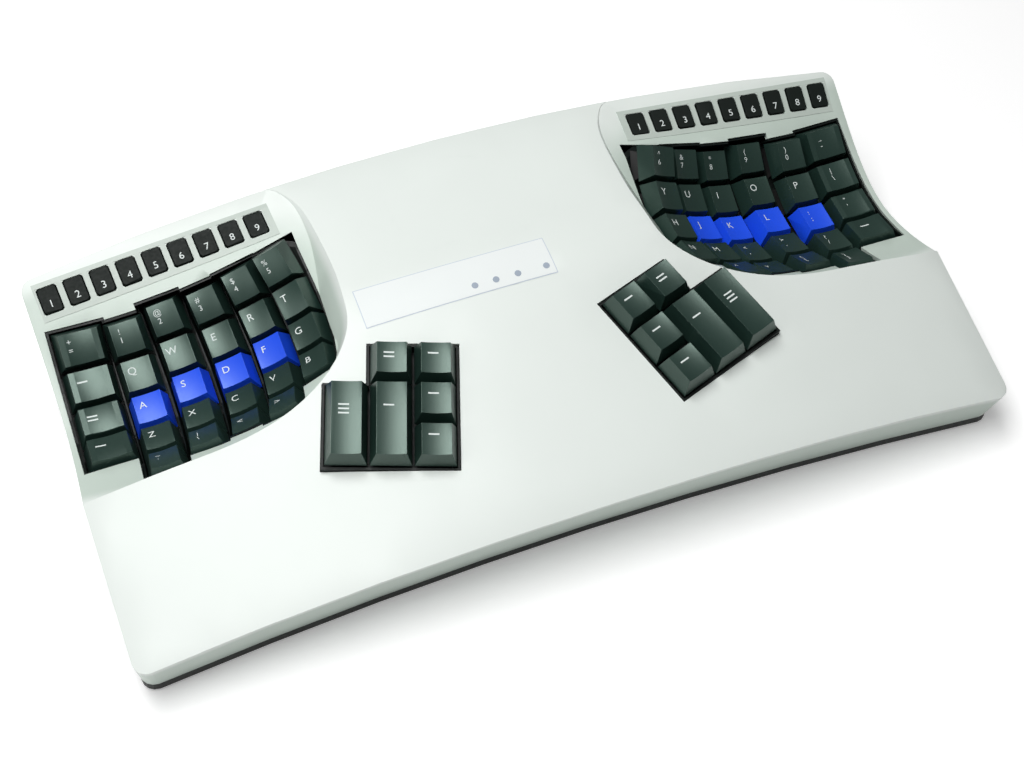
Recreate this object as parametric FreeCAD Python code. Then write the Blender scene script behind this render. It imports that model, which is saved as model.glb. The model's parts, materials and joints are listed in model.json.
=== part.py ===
import FreeCAD, Part
import os
from math import atan, cos, degrees, hypot, radians, sin, tan

# Contoured split keyboard, one STEP file for each piece. Millimetres.
# X points right, Y to the rear and Z up. The desk is Z = 0 and the origin lies
# under the middle of the case. The left half is drawn, the right one mirrors it.

V = FreeCAD.Vector
ORIGIN = V(0, 0, 0)

# Case outline at the seam between the light top and the dark base tray
SEAM_Z = 6.0
CASE_HALF_WIDTH = 202.8
FRONT_CORNER_Y = -97.1
FRONT_MIDDLE_Y = -87.5
REAR_CORNER_Y = 87.6
REAR_MIDDLE_Y = 101.2
FRONT_CORNER_RADIUS = 6.5
REAR_CORNER_RADIUS = 6.0
# how far the walls lean out for each millimetre of height
SIDE_LEAN = 0.065
FRONT_CORNER_LEAN = 0.33
FRONT_MIDDLE_LEAN = 0.453
REAR_LEAN = 0.035
WALL = 2.5
# the long arcs and the corners are drawn with this many flats each
LONG_FACETS = 8
CORNER_FACETS = 4
# heights at which the twist of the walls is taken up
WALL_LEVELS = [SEAM_Z, 12.0, 31.0, 50.0]

# Deck: a palm slope that runs up into a level rear part, both crowned across
PALM_Z = 70.63
PALM_SLOPE = 0.2777
PALM_CROWN = 0.000379
LEVEL_Z = 74.8
LEVEL_CROWN = 0.000166
DECK_BLEND_RADIUS = 100.0

# Keys: heights are measured down the key's own axis from the middle of its top
KEY_UNIT = 19.05
CAP_GAP = 1.0
CAP_HEIGHT = 8.4
CAP_TOP_DRAFT_X = 2.6
CAP_TOP_DRAFT_Y = 1.9
CAP_WALL = 1.3
CAP_CROWN = 1.6
DISH_RADIUS = 36.0
DISH_LIP = 0.55
KEY_TRAVEL = 4.0
SWITCH_ABOVE_PLATE = 6.6
SWITCH_BELOW_PLATE = 5.0
SWITCH_BODY = 13.9
SWITCH_SHOULDER = 15.4
SWITCH_CROWN = 10.2
SLIDER_X = 6.4
SLIDER_Y = 5.0
SLIDER_CLEARANCE = 0.45
STEM = 4.0
PLATE_THICKNESS = 1.6
PLATE_HOLE_CLEARANCE = 0.12

# Key bowl: columns on arcs, and the columns themselves on a wider arc across
COLUMN_RADIUS = 62.8
ROW_ANGLE = 15.92
COLUMN_ANGLE = 5.78
COLUMN_PITCH = 19.97
COLUMN_LOWEST = 0.303
BOWL_X = -180.3
BOWL_Y = 29.3
BOWL_Z = 31.3
BOWL_PITCH = 7.4
OUTER_CAP_UNITS = 1.25
OUTER_SHIFT = 2.4
# one entry per column, outermost first: (toward the rear, up, first row, last row)
COLUMNS = [
    (-5.7, 8.2, 0, 3),
    (-7.6, 8.6, 0, 4),
    (-0.6, 3.5, 0, 4),
    (0.0, 0.0, 0, 4),
    (-0.4, 2.1, 0, 4),
    (-3.5, 6.3, 0, 3),
]
HOME_ROW = 2
END_ANGLE = 8.2
FRAME_WALL = 1.0
FRAME_GAP = 0.3
CAP_SIDE_GAP = 0.8
RIB_THICKNESS = 1.0
RIB_DEPTH = 5.6
# the frame's screws stand where this key meets the next column and the next row
FRAME_SCREWS = [(1, 0), (3, 0), (2, 3)]
FRAME_TOP_BELOW_CASE = 0.8
FRAME_FACETS = 8

# Surface of the bowl in the case at six stations across. Its height is given over
# SCOOP_Y, then come the (y, z) of the line behind the function keys and of the rear edge.
SCOOP_Y = [-34.0, -18.4, -2.4, 22.6, 47.6, 64.6]
SCOOP = {
    -226.0: ([50.6, 43.4, 38.0, 35.0, 42.8, 53.2], (83.5, 64.6), (90.0, 66.6)),
    -190.0: ([50.6, 43.4, 38.0, 35.0, 42.8, 53.4], (84.6, 65.2), (91.9, 68.0)),
    -150.0: ([54.0, 46.0, 38.6, 35.0, 43.5, 57.3], (86.8, 67.9), (96.2, 70.7)),
    -115.0: ([60.0, 54.0, 47.0, 43.0, 51.0, 62.2], (88.6, 70.1), (99.2, 72.3)),
    -84.0: ([72.0, 68.0, 63.5, 57.0, 61.8, 67.6], (90.3, 72.4), (101.2, 73.5)),
    -60.0: ([80.0, 76.0, 72.0, 67.0, 68.5, 70.8], (91.5, 74.4), (102.3, 74.9)),
}
# Rim of the bowl: (x, y, z, how far its wall leans in for each millimetre down)
RIM = [
    (-228.0, -27.2, 45.0, 0.36),
    (-195.0, -27.2, 49.0, 0.36),
    (-168.0, -26.8, 52.9, 0.36),
    (-143.0, -26.4, 55.5, 0.36),
    (-122.0, -23.8, 58.4, 0.40),
    (-105.7, -18.4, 61.3, 0.45),
    (-91.0, -10.1, 64.7, 0.50),
    (-80.5, 0.6, 68.5, 0.55),
    (-75.2, 11.9, 72.3, 0.60),
    (-72.9, 27.6, 73.9, 0.60),
    (-72.3, 46.9, 74.0, 0.60),
    (-73.4, 65.6, 74.0, 0.60),
    (-74.8, 84.6, 74.0, 0.60),
    (-76.6, 91.0, 74.0, 0.60),
    (-80.4, 96.4, 74.0, 0.60),
    (-86.6, 101.0, 74.0, 0.60),
    (-95.0, 105.0, 74.0, 0.60),
]

# Thumb cluster: its origin is the middle of its three by three unit square,
# at the height of the caps' lower rims
THUMB_X = -70.7
THUMB_Y = -33.7
THUMB_Z = 60.5
THUMB_TURN = -18.75
THUMB_SLOPE = 15.52
THUMB_RIM_ABOVE_DECK = 1.1
THUMB_WALL = 1.0
THUMB_KEY_GAP = 0.5
THUMB_EAR_RADIUS = 4.6
THUMB_EARS = [(-1.5, -0.95), (1.5, 0.1), (-0.5, 0.85)]
THUMB_EAR_REACH = 5.2
# (name, column, row, height in units)
THUMB_KEYS = [
    ("outer_tall", -1.0, -0.5, 2),
    ("middle_tall", 0.0, -0.5, 2),
    ("upper_middle", 0.0, 1.0, 1),
    ("upper_inner", 1.0, 1.0, 1),
    ("centre_inner", 1.0, 0.0, 1),
    ("lower_inner", 1.0, -1.0, 1),
]

# Function keys: nine rubber buttons on one moulded strip
FUNCTION_OUTER = V(-195.3, 78.5, 62.4)
FUNCTION_INNER = V(-96.9, 83.5, 70.5)
FUNCTION_COUNT = 9
FUNCTION_TILT_OUTER = 31.0
FUNCTION_TILT_INNER = 16.0
FUNCTION_X = 8.8
FUNCTION_Y = 12.2
FUNCTION_CORNER = 0.9
FUNCTION_HOLE_GAP = 0.4
FUNCTION_TRAVEL = 0.8
WEB_DEPTH = 4.2
WEB_THICKNESS = 1.0
WEB_MARGIN = 0.25
WEB_END = 4.6
WEB_GAP = 0.3
FUNCTION_BOARD_THICKNESS = 1.2
FUNCTION_BOARD_GAP = 2.0
FUNCTION_BOARD_REAR = 4.0
PAD_AT = [0.19, 0.5, 0.81]
PAD_X = 6.0
PAD_Y = 2.4
PAD_GAP = 0.15
PAD_OVERHANG = 1.0

# Base tray, feet, screws and electronics
TRAY_BOTTOM_Z = 2.0
TRAY_FLOOR = 2.5
LIP_TOP_Z = 12.0
LIP_GAP = 0.3
LIP_THICKNESS = 1.8
FOOT_X = 32.0
FOOT_Y = 13.0
FEET = [(-168.0, -80.0), (0.0, -74.0), (168.0, -80.0), (-168.0, 74.0), (0.0, 84.0), (168.0, 74.0)]
SCREW_RADIUS = 1.4
SCREW_CLEARANCE = 0.25
PILOT_CLEARANCE = 0.08
SCREW_HEAD_RADIUS = 2.9
SCREW_HEAD = 1.6
SCREW_HEAD_SINK = 0.3
SCREW_BITE = 9.0
BOSS_RADIUS = 4.0
POST_RADIUS = 3.3
FRAME_BOSS_BOTTOM_Z = 14.0
# (x, y, top of the boss over the screw), the rear corner ones stand against the wall
CASE_SCREWS = [(-188.0, -70.0, 90.0), (188.0, -70.0, 90.0), (-30.0, -76.0, 90.0), (30.0, -76.0, 90.0),
               (-192.0, 84.6, 40.0), (192.0, 84.6, 40.0), (-52.0, 88.0, 90.0), (52.0, 88.0, 90.0)]
PCB_X = 92.0
PCB_Y = 58.0
PCB_CENTRE_Y = 40.0
PCB_Z = 24.0
PCB_THICKNESS = 1.6
STANDOFF_RADIUS = 3.0
LAMP_X = [-16.4, -6.3, 4.2, 18.0]
LAMP_Y = 8.3
LAMP_RADIUS = 1.5
LAMP_SIDES = 10
LAMP_FLANGE = 0.9
LAMP_CLEARANCE = 0.15
LAMP_PROUD = 0.1
LAMP_FLANGE_DROP = 0.8
BUSH_Z = 22.0
BUSH_FLANGE_RADIUS = 8.5
BUSH_BODY_RADIUS = 6.0
BUSH_BORE = 3.4
BUSH_FLANGE = 1.5
BUSH_CLEARANCE = 0.1
# stiffening ribs under the bridge: (x, where each starts)
RIBS = [(-24.0, -58.0), (24.0, -58.0)]
RIB_WALL = 1.6
RIB_BOTTOM_Z = 54.0

# higher than anything on the keyboard
ROOF_Z = 96.0


def place(x=0.0, y=0.0, z=0.0):
    return FreeCAD.Placement(V(x, y, z), FreeCAD.Rotation())


def turn(axis, angle):
    return FreeCAD.Placement(ORIGIN, FreeCAD.Rotation(axis, angle))


def turn_x(angle):
    return turn(V(1, 0, 0), angle)


def turn_y(angle):
    return turn(V(0, 1, 0), angle)


def turn_z(angle):
    return turn(V(0, 0, 1), angle)


def placed(shape, placement):
    copy = shape.copy()
    copy.transformShape(placement.toMatrix(), True)
    return copy


def mirrored(shape):
    return shape.mirror(ORIGIN, V(1, 0, 0))


def box(x0, x1, y0, y1, z0, z1):
    return Part.makeBox(x1 - x0, y1 - y0, z1 - z0, V(x0, y0, z0))


def ring(radius, sides, x=0.0, y=0.0, z=0.0):
    """Corners of a regular polygon whose flats touch a circle of this radius."""
    out = []
    for i in range(sides):
        angle = radians(360.0 * (i + 0.5) / sides)
        size = radius / cos(radians(180.0 / sides))
        out.append(V(x + size * cos(angle), y + size * sin(angle), z))
    return out


def rod(radius, x, y, z0, z1, sides=6):
    """Upright rod with flats, used wherever a small round feature is hidden."""
    return Part.Face(polygon(ring(radius, sides, x, y, z0))).extrude(V(0, 0, z1 - z0))


def flat_quad(a, b, c, d):
    """Faces of one side: one plane where the corners allow it, else two triangles."""
    normal = (b - a).cross(d - a)
    if abs(normal.dot(c - a)) < 1e-6 * max(1.0, normal.Length):
        return [Part.Face(polygon([a, b, c, d]))]
    return [Part.Face(polygon([a, b, c])), Part.Face(polygon([a, c, d]))]


def stacked(*rings):
    """Flat-sided solid through rings of corners, one above the other."""
    count = len(rings[0])
    faces = [Part.Face(polygon(rings[0])), Part.Face(polygon(rings[-1]))]
    for low, high in zip(rings, rings[1:]):
        for i in range(count):
            j = (i + 1) % count
            faces += flat_quad(low[i], low[j], high[j], high[i])
    solid = Part.makeSolid(Part.makeShell(faces))
    if solid.Volume < 0:
        solid.reverse()
    return solid


def joined(shapes):
    first = shapes[0]
    return first.fuse(shapes[1:]) if len(shapes) > 1 else first


def polygon(points):
    return Part.makePolygon(list(points) + [points[0]])


def arc(a, b, c):
    return Part.Arc(a, b, c).toShape()


def line(a, b):
    return Part.makeLine(a, b)


def export(name, shapes):
    shape = shapes if hasattr(shapes, "exportStep") else Part.makeCompound(shapes)
    shape.exportStep("parts/%s.step" % name)
    solids = shape.Solids
    print(name, len(solids), "valid" if all(s.isValid() for s in solids) else "NOT VALID")


# Case surfaces


def arc_points(a, m, b, count):
    """Points along the arc a, m, b without its last one."""
    curve = Part.Arc(a, m, b)
    first, last = curve.FirstParameter, curve.LastParameter
    return [curve.value(first + (last - first) * i / count) for i in range(count)]


def case_outline(z, inset=0.0):
    """Plan outline of the case at one height, all walls leaning with it."""
    rise = z - SEAM_Z
    half = CASE_HALF_WIDTH + SIDE_LEAN * rise - inset
    front = FRONT_CORNER_Y - FRONT_CORNER_LEAN * rise + inset
    front_middle = FRONT_MIDDLE_Y - FRONT_MIDDLE_LEAN * rise + inset
    rear = REAR_CORNER_Y + REAR_LEAN * rise - inset
    rear_middle = REAR_MIDDLE_Y + REAR_LEAN * rise - inset
    rf = FRONT_CORNER_RADIUS - inset
    rr = REAR_CORNER_RADIUS - 0.5 * inset
    k = cos(radians(45.0))
    f0, f1, f2 = V(-half + rf, front, z), V(0, front_middle, z), V(half - rf, front, z)
    s0, s1 = V(half, front + rf, z), V(half, rear - rr, z)
    r0, r1, r2 = V(half - rr, rear, z), V(0, rear_middle, z), V(-half + rr, rear, z)
    t0, t1 = V(-half, rear - rr, z), V(-half, front + rf, z)
    front_right = V(half - rf + k * rf, front + rf - k * rf, z)
    rear_right = V(half - rr + k * rr, rear - rr + k * rr, z)
    points = arc_points(f0, f1, f2, LONG_FACETS)
    points += arc_points(f2, front_right, s0, CORNER_FACETS) + [s0]
    points += arc_points(s1, rear_right, r0, CORNER_FACETS) + arc_points(r0, r1, r2, LONG_FACETS)
    points += arc_points(r2, V(-rear_right.x, rear_right.y, z), t0, CORNER_FACETS) + [t0]
    points += arc_points(t1, V(-front_right.x, front_right.y, z), f0, CORNER_FACETS)
    return points


def case_block(z0, z1, inset=0.0):
    heights = [z0] + [z for z in WALL_LEVELS if z0 < z < z1] + [z1]
    return stacked(*[case_outline(z, inset) for z in heights])


def palm_height(x, y):
    return PALM_Z + PALM_SLOPE * y - PALM_CROWN * x * x


def level_height(x):
    return LEVEL_Z - LEVEL_CROWN * x * x


def deck_section(x, drop):
    """Side profile of everything under the deck at one x."""
    angle = atan(PALM_SLOPE)
    reach = DECK_BLEND_RADIUS * tan(angle / 2.0)
    sag = DECK_BLEND_RADIUS * (1.0 / cos(angle / 2.0) - 1.0)
    knee = (LEVEL_Z - PALM_Z + (PALM_CROWN - LEVEL_CROWN) * x * x) / PALM_SLOPE
    level = level_height(x) - drop
    low, front, rear = -40.0, -150.0, 150.0
    a = V(x, front, palm_height(x, front) - drop)
    b = V(x, knee - reach * cos(angle), level - reach * sin(angle))
    m = V(x, knee + sag * sin(angle / 2.0), level - sag * cos(angle / 2.0))
    c = V(x, knee + reach, level)
    d, e, f = V(x, rear, level), V(x, rear, low), V(x, front, low)
    return Part.Wire([line(a, b), arc(b, m, c), line(c, d), line(d, e), line(e, f), line(f, a)])


def under_deck(drop=0.0):
    stations = [-240.0, -160.0, -80.0, 0.0, 80.0, 160.0, 240.0]
    return Part.makeLoft([deck_section(x, drop) for x in stations], True, False)


def scoop_section(x, drop):
    heights, crease, edge = SCOOP[x]
    curve = Part.BSplineCurve()
    curve.interpolate([V(x, y, z - drop) for y, z in zip(SCOOP_Y, heights)])
    a, b = V(x, SCOOP_Y[0], heights[0] - drop), V(x, SCOOP_Y[-1], heights[-1] - drop)
    c, d = V(x, crease[0], crease[1] - drop), V(x, edge[0], edge[1] - drop)
    e = d + (d - c)
    f, g = V(x, e.y, ROOF_Z + 20.0), V(x, a.y, ROOF_Z + 20.0)
    return Part.Wire([curve.toShape(), line(b, c), line(c, e), line(e, f), line(f, g), line(g, a)])


def rim_wire(z, height, grow):
    """Outline of the left bowl for one height of its leaning wall, drawn at z."""
    points = []
    for i, (x, y, rim_z, lean) in enumerate(RIM):
        before, after = RIM[max(i - 1, 0)], RIM[min(i + 1, len(RIM) - 1)]
        tx, ty = after[0] - before[0], after[1] - before[1]
        size = hypot(tx, ty)
        move = lean * (height - rim_z) + grow
        points.append(V(x + ty / size * move, y - tx / size * move, z))
    curve = Part.BSplineCurve()
    curve.interpolate(points)
    behind, corner = V(points[-1].x, 130.0, z), V(points[0].x, 130.0, z)
    return Part.Wire([curve.toShape(), line(points[-1], behind), line(behind, corner), line(corner, points[0])])


def facet_section(x, drop):
    """Same side profile as scoop_section, drawn with short straight lines."""
    heights, crease, edge = SCOOP[x]
    curve = Part.BSplineCurve()
    curve.interpolate([V(x, y, z - drop) for y, z in zip(SCOOP_Y, heights)])
    first, last = curve.FirstParameter, curve.LastParameter
    points = [curve.value(first + (last - first) * i / FRAME_FACETS) for i in range(FRAME_FACETS + 1)]
    end = V(x, edge[0], edge[1] - drop)
    return points + [V(x, crease[0], crease[1] - drop), end,
                     V(x, end.y, ROOF_Z + 20.0), V(x, SCOOP_Y[0], ROOF_Z + 20.0)]


def frame_trim():
    """Flat-sided form of the scoop that keeps the key frame below the case."""
    return stacked(*[facet_section(x, FRAME_TOP_BELOW_CASE) for x in sorted(SCOOP)])


def bowl_tool(thickness=0.0):
    """What the left bowl takes out of the case, grown by a wall's thickness."""
    sections = [scoop_section(x, thickness) for x in sorted(SCOOP)]
    scoop = Part.makeLoft(sections, True, False)
    low, waist = 22.0, 45.0
    rims = [rim_wire(low, waist, thickness), rim_wire(waist, waist, thickness),
            rim_wire(ROOF_Z, ROOF_Z, thickness)]
    footprint = Part.makeLoft(rims, True, True)
    return scoop.common(footprint)


# Key places


def column_place(column, shift=True):
    """Frame of one column: origin at its home key's top, Z along that key."""
    rear, up, first, last = COLUMNS[column]
    across = COLUMN_PITCH / (2.0 * sin(radians(COLUMN_ANGLE / 2.0)))
    lean = (column - COLUMN_LOWEST) * COLUMN_ANGLE
    side = -OUTER_SHIFT if column == 0 and shift else 0.0
    frame = place(BOWL_X, BOWL_Y, BOWL_Z) * turn_x(BOWL_PITCH)
    frame = frame * place(0, 0, across) * turn_y(-lean) * place(0, 0, -across)
    return frame * place(side, rear, up)


def key_place(column, row):
    angle = (HOME_ROW - row) * ROW_ANGLE
    return column_place(column) * place(0, 0, COLUMN_RADIUS) * turn_x(angle) * place(0, 0, -COLUMN_RADIUS)


def thumb_frame():
    return place(THUMB_X, THUMB_Y, THUMB_Z) * turn_x(THUMB_SLOPE) * turn_z(THUMB_TURN)


def thumb_place(u, v):
    return thumb_frame() * place(u * KEY_UNIT, v * KEY_UNIT, CAP_HEIGHT)


def function_place(t):
    """Frame on the function row, t = 0 at the outer key and 1 at the inner one."""
    at = FUNCTION_OUTER + (FUNCTION_INNER - FUNCTION_OUTER) * t
    run = FUNCTION_INNER - FUNCTION_OUTER
    yaw = degrees(atan(run.y / run.x))
    roll = degrees(atan(run.z / hypot(run.x, run.y)))
    tilt = FUNCTION_TILT_OUTER + (FUNCTION_TILT_INNER - FUNCTION_TILT_OUTER) * t
    return place(at.x, at.y, at.z) * turn_z(yaw) * turn_y(-roll) * turn_x(tilt)


# Keys and switches, drawn about the middle of the key's top


def chamfered(width, depth, z, corner):
    x, y, c = width / 2.0, depth / 2.0, corner
    return [V(-x + c, -y, z), V(x - c, -y, z), V(x, -y + c, z), V(x, y - c, z),
            V(x - c, y, z), V(-x + c, y, z), V(-x, y - c, z), V(-x, -y + c, z)]


def rectangle(width, depth, z):
    x, y = width / 2.0, depth / 2.0
    return [V(-x, -y, z), V(x, -y, z), V(x, y, z), V(-x, y, z)]


def keycap(width_units, depth_units):
    """Hollow tapered cap with a top dished from left to right."""
    width = width_units * KEY_UNIT - CAP_GAP
    depth = depth_units * KEY_UNIT - CAP_GAP
    top_x, top_y = width - 2.0 * CAP_TOP_DRAFT_X, depth - 2.0 * CAP_TOP_DRAFT_Y
    outer = stacked(rectangle(width, depth, -CAP_HEIGHT), rectangle(top_x, top_y, DISH_LIP))
    inner_low = rectangle(width - 2.0 * CAP_WALL, depth - 2.0 * CAP_WALL, -CAP_HEIGHT)
    inner_top = rectangle(top_x - 2.0 * CAP_WALL, top_y - 2.0 * CAP_WALL, -CAP_CROWN)
    inner = stacked(inner_low, inner_top)
    dish = Part.makeCylinder(DISH_RADIUS, depth + 2.0, V(0, -depth / 2.0 - 1.0, DISH_RADIUS), V(0, 1, 0))
    return outer.cut(dish).cut(inner)


def slider():
    """Plunger of the switch with the square stem that the cap sits on."""
    foot = -CAP_HEIGHT - SWITCH_ABOVE_PLATE + 1.2
    return stacked(rectangle(SLIDER_X, SLIDER_Y, foot), rectangle(STEM, STEM, -CAP_CROWN))


def switch_body():
    """Switch case: square below the plate, shouldered and tapered above it."""
    top = -CAP_HEIGHT
    plate = top - SWITCH_ABOVE_PLATE
    bottom = plate - SWITCH_BELOW_PLATE
    half = SWITCH_BODY / 2.0
    lower = box(-half, half, -half, half, bottom, plate)
    upper = stacked(rectangle(SWITCH_SHOULDER, SWITCH_SHOULDER, plate),
                    rectangle(SWITCH_CROWN, SWITCH_CROWN, top))
    hx, hy = SLIDER_X / 2 + SLIDER_CLEARANCE, SLIDER_Y / 2 + SLIDER_CLEARANCE
    well = box(-hx, hx, -hy, hy, bottom + 1.0, top + 1.0)
    return lower.fuse(upper).cut(well)


def key(width_units, depth_units, placement):
    return [placed(keycap(width_units, depth_units), placement), placed(slider(), placement)]


def cap_units(column):
    return OUTER_CAP_UNITS if column == 0 else 1.0


# Key frame in the bowl


def band(column, near, far, grow, left, right):
    """Facetted arc of one column between two depths under the key tops.

    Its rear end is parallel to the last key's axis, its front end points at the middle of the arc."""
    rear, up, first, last = COLUMNS[column]
    top = (HOME_ROW - first) * ROW_ANGLE
    bottom = (HOME_ROW - last) * ROW_ANGLE
    half = ROW_ANGLE / 2.0
    front = END_ANGLE + angle_of(grow)
    behind = (KEY_UNIT - CAP_GAP) / 2.0 + CAP_SIDE_GAP + grow
    corners = [(top, 0.0, behind)]
    corners += [((HOME_ROW - row) * ROW_ANGLE - half, half, 0.0) for row in range(first, last)]
    corners += [(bottom - front, front, 0.0)]

    def point(corner, depth):
        angle, off, shift = corner
        radius = (COLUMN_RADIUS + depth) / cos(radians(off))
        a = radians(angle)
        return V(left, radius * sin(a) + shift * cos(a), COLUMN_RADIUS - radius * cos(a) + shift * sin(a))

    outline = [point(c, near) for c in corners] + [point(c, far) for c in reversed(corners)]
    prism = Part.Face(polygon(outline)).extrude(V(right - left, 0, 0))
    return placed(prism, column_place(column, False))


def column_sides(column, extra):
    """Left and right limits of a column's space in its own frame."""
    across = COLUMN_PITCH / (2.0 * sin(radians(COLUMN_ANGLE / 2.0)))
    depth = CAP_HEIGHT + SWITCH_ABOVE_PLATE
    half = (across + depth) * tan(radians(COLUMN_ANGLE / 2.0))
    cap = KEY_UNIT / 2.0 - CAP_GAP / 2.0
    left, right = -half, half
    if column == 0:
        left = -OUTER_SHIFT - (OUTER_CAP_UNITS * KEY_UNIT - CAP_GAP) / 2.0 - CAP_SIDE_GAP - extra
    if column == len(COLUMNS) - 1:
        right = cap + CAP_SIDE_GAP + extra
    return left, right


def angle_of(distance):
    return degrees(distance / (COLUMN_RADIUS + CAP_HEIGHT))


def case_opening():
    extra = FRAME_WALL + FRAME_GAP
    bands = []
    for column in range(len(COLUMNS)):
        left, right = column_sides(column, extra)
        bands.append(band(column, -28.0, 24.0, extra, left - 0.01, right + 0.01))
    return joined(bands)


def plate_depth():
    return CAP_HEIGHT + SWITCH_ABOVE_PLATE


def rib_limits(column):
    """Inner faces of the dividers beside a column, at the depth of the plate."""
    rear, up, first, last = COLUMNS[column]
    across = COLUMN_PITCH / (2.0 * sin(radians(COLUMN_ANGLE / 2.0)))
    half = (across - up + CAP_HEIGHT) * tan(radians(COLUMN_ANGLE / 2.0)) - RIB_THICKNESS / 2.0
    left, right = -half, half
    if column == 0:
        left = column_sides(column, 0.0)[0]
    if column == len(COLUMNS) - 1:
        right = column_sides(column, 0.0)[1]
    return left, right


def junctions():
    """Places between four switches where the frame's screw bosses fit."""
    out = []
    for column, row in FRAME_SCREWS:
        near = [key_place(c, r).multVec(V(0, 0, -plate_depth()))
                for c in (column, column + 1) for r in (row, row + 1)]
        out.append((near[0] + near[1] + near[2] + near[3]) * 0.25)
    return out


def key_frame(trim_tool):
    outer, inner, trim = [], [], []
    for column in range(len(COLUMNS)):
        left, right = column_sides(column, FRAME_WALL)
        outer.append(band(column, -6.0, plate_depth() + PLATE_THICKNESS, FRAME_WALL, left, right))
        left, right = rib_limits(column)
        inner.append(band(column, -20.0, plate_depth(), 0.0, left, right))
        left, right = column_sides(column, 0.0)
        trim.append(band(column, -20.0, RIB_DEPTH, 0.0, left, right))
    bosses = [rod(POST_RADIUS, p.x, p.y, FRAME_BOSS_BOTTOM_Z, p.z + 3.0) for p in junctions()]
    frame = joined(outer + bosses).cut(joined(inner)).cut(joined(trim))
    frame = frame.cut(trim_tool)
    half = SWITCH_BODY / 2.0 + PLATE_HOLE_CLEARANCE
    cutters = []
    for column, (rear, up, first, last) in enumerate(COLUMNS):
        for row in range(first, last + 1):
            hole = box(-half, half, -half, half, -plate_depth() - PLATE_THICKNESS - 6.0, -plate_depth() + 1.0)
            cutters.append(placed(hole, key_place(column, row)))
    for p in junctions():
        cutters.append(rod(SCREW_RADIUS + PILOT_CLEARANCE, p.x, p.y, FRAME_BOSS_BOTTOM_Z - 1.0, p.z - 3.0))
    return frame.cut(cutters)


# Thumb cluster


def thumb_outline(grow, z):
    """L-shaped outline round the caps' lower rims, grown by a distance."""
    far = 1.5 * KEY_UNIT - CAP_GAP / 2.0 + grow
    near = 0.5 * KEY_UNIT - CAP_GAP / 2.0 + grow
    return polygon([V(-far, -far, z), V(far, -far, z), V(far, far, z), V(-near, far, z),
                    V(-near, near, z), V(-far, near, z)])


def thumb_prism(grow, z0, z1):
    return placed(Part.Face(thumb_outline(grow, z0)).extrude(V(0, 0, z1 - z0)), thumb_frame())


def thumb_ears():
    """Middle of each screw ear in the cluster's own frame."""
    grow = THUMB_KEY_GAP + THUMB_WALL
    edge = KEY_UNIT * 1.5 - CAP_GAP / 2.0 + grow + THUMB_EAR_REACH
    step = KEY_UNIT * 0.5 - CAP_GAP / 2.0 + grow + THUMB_EAR_REACH
    out = []
    for u, v in THUMB_EARS:
        x, y = u * KEY_UNIT, v * KEY_UNIT
        if u == -1.5:
            x = -edge
        if u == 1.5:
            x = edge
        if u == -0.5:
            x = -step
        out.append((x, y))
    return out


def thumb_plate_z():
    return -SWITCH_ABOVE_PLATE


def thumb_tray():
    plate = thumb_plate_z()
    bottom = plate - PLATE_THICKNESS
    rim = -THUMB_RIM_ABOVE_DECK + 0.2
    outer = thumb_prism(THUMB_KEY_GAP + THUMB_WALL, bottom, rim)
    inner = thumb_prism(THUMB_KEY_GAP, plate, rim + 5.0)
    ears = []
    cutters = [inner]
    for x, y in thumb_ears():
        reach = THUMB_EAR_REACH + THUMB_WALL
        ear = rod(THUMB_EAR_RADIUS, x, y, bottom, plate)
        inward = -reach if (x, y) == thumb_ears()[1] else reach
        bridge = box(min(x, x + inward), max(x, x + inward),
                     y - THUMB_EAR_RADIUS, y + THUMB_EAR_RADIUS, bottom, plate)
        ears.append(placed(ear.fuse(bridge), thumb_frame()))
        hole = rod(SCREW_RADIUS + SCREW_CLEARANCE, x, y, bottom - 1.0, plate + 1.0)
        cutters.append(placed(hole, thumb_frame()))
    half = SWITCH_BODY / 2.0 + PLATE_HOLE_CLEARANCE
    for name, u, v, units in THUMB_KEYS:
        hole = box(-half, half, -half, half, -plate_depth() - PLATE_THICKNESS - 1.0, -plate_depth() + 1.0)
        cutters.append(placed(hole, thumb_place(u, v)))
    return joined([outer] + ears).cut(cutters)


def thumb_bosses():
    """Bosses that hang from the deck to the ears, cut off later by the deck."""
    return [placed(rod(THUMB_EAR_RADIUS, x, y, thumb_plate_z(), 6.0), thumb_frame()) for x, y in thumb_ears()]


def thumb_pilots():
    top = thumb_plate_z() + 2.6
    return [placed(rod(SCREW_RADIUS + PILOT_CLEARANCE, x, y, thumb_plate_z() - 1.0, top), thumb_frame())
            for x, y in thumb_ears()]


# Function key strip


def function_section(frame, shift, y0, y1, z0, z1):
    points = [V(shift, y0, z0), V(shift, y1, z0), V(shift, y1, z1), V(shift, y0, z1)]
    return [frame.multVec(p) for p in points]


def function_strip(y0, y1, z0, z1):
    """Twisted flat strip that runs under the nine buttons."""
    last = FUNCTION_COUNT - 1
    sections = [function_section(function_place(0.0), -WEB_END, y0, y1, z0, z1)]
    for i in range(0, FUNCTION_COUNT, 2):
        sections.append(function_section(function_place(i / last), 0.0, y0, y1, z0, z1))
    sections.append(function_section(function_place(1.0), WEB_END, y0, y1, z0, z1))
    return stacked(*sections)


def function_button():
    low = chamfered(FUNCTION_X, FUNCTION_Y, -WEB_DEPTH - WEB_THICKNESS / 2.0, FUNCTION_CORNER)
    top = chamfered(FUNCTION_X - 0.4, FUNCTION_Y - 0.4, 0.0, FUNCTION_CORNER)
    return stacked(low, top)


def function_keypad():
    half = FUNCTION_Y / 2.0 + WEB_MARGIN
    web = function_strip(-half, half, -WEB_DEPTH - WEB_THICKNESS, -WEB_DEPTH)
    last = FUNCTION_COUNT - 1
    buttons = [placed(function_button(), function_place(i / last)) for i in range(FUNCTION_COUNT)]
    return web.fuse(buttons)


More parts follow.
